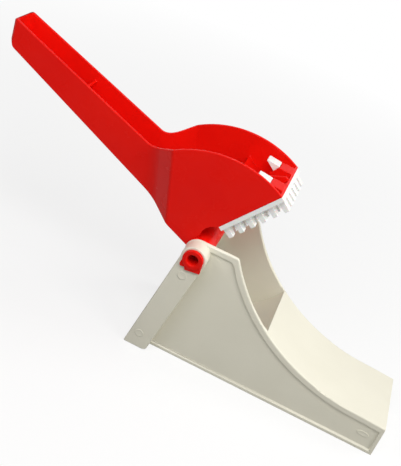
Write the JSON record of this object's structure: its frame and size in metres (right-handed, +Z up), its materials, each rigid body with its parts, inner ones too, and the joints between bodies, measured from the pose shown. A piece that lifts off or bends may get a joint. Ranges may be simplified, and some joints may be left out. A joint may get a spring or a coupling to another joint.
{
  "type": "french fry cutter",
  "caption": "Lever potato chipper: a scoop head with square pins swings through a chamber and pushes the potato out of a steel blade grid.",
  "frame": {"origin": "on the table, at the middle of the leaning rear frame's foot", "axes": "+X from the blade grid to the long front foot, +Y across the width, +Z up; the lever is stored open"},
  "size_m": [0.4974, 0.1204, 0.2616],
  "materials": {
    "cream_plastic": "satin moulded",
    "red_plastic": "glossy moulded",
    "white_plastic": "satin moulded",
    "blade_steel": "brushed with bright cutting edges"
  },
  "bodies": {
    "base": {"base_body": "cream_plastic", "blade_frame": "white_plastic", "upright_blade_1": "blade_steel", "level_blade_1": "blade_steel", "upright_blade_2": "blade_steel", "level_blade_2": "blade_steel", "upright_blade_3": "blade_steel", "level_blade_3": "blade_steel", "upright_blade_4": "blade_steel", "level_blade_4": "blade_steel", "upright_blade_5": "blade_steel", "level_blade_5": "blade_steel"},
    "lever": {"lever": "red_plastic", "pusher_plate": "white_plastic", "hinge_pin_near": "red_plastic", "hinge_pin_far": "red_plastic"}
  },
  "joints": [
    {"name": "lever_hinge", "type": "hinge", "parent": "base", "child": "lever", "pos_m": [0.0231, 0, 0.131], "axis": [0, 1, 0], "range_deg": [0, 153.5]}
  ]
}
